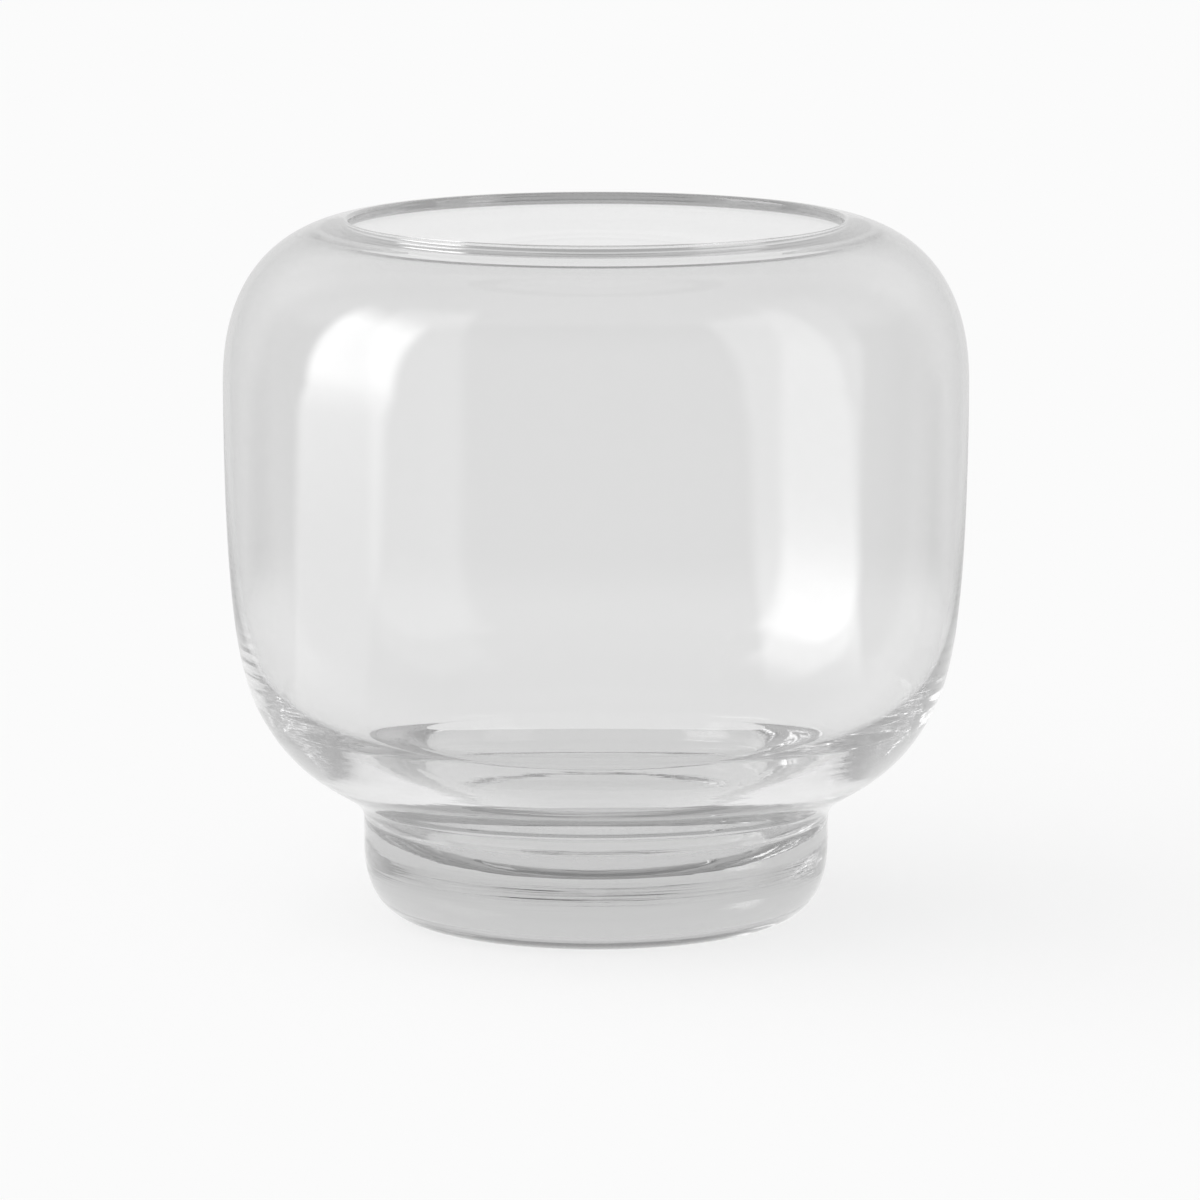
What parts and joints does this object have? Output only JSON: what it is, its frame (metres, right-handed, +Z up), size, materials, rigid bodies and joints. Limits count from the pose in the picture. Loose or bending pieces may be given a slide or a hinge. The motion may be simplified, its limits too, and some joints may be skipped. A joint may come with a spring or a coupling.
{
  "type": "footed glass vase",
  "caption": "Clear glass vase with a wide round-shouldered bowl, an open fire-polished mouth and a heavy glass foot with a well in it.",
  "frame": {"origin": "centre of the underside, at the middle of the flat disc that rests on the table", "axes": "+Z up along the vase's axis of revolution, out of the mouth; X and Y are equivalent"},
  "size_m": [0.2, 0.2, 0.1895],
  "materials": {
    "bowl_glass": "polished, clear blown glass",
    "foot_glass": "polished, clear thick glass"
  },
  "bodies": {
    "root": {"bowl": "bowl_glass", "foot": "foot_glass"}
  },
  "joints": []
}
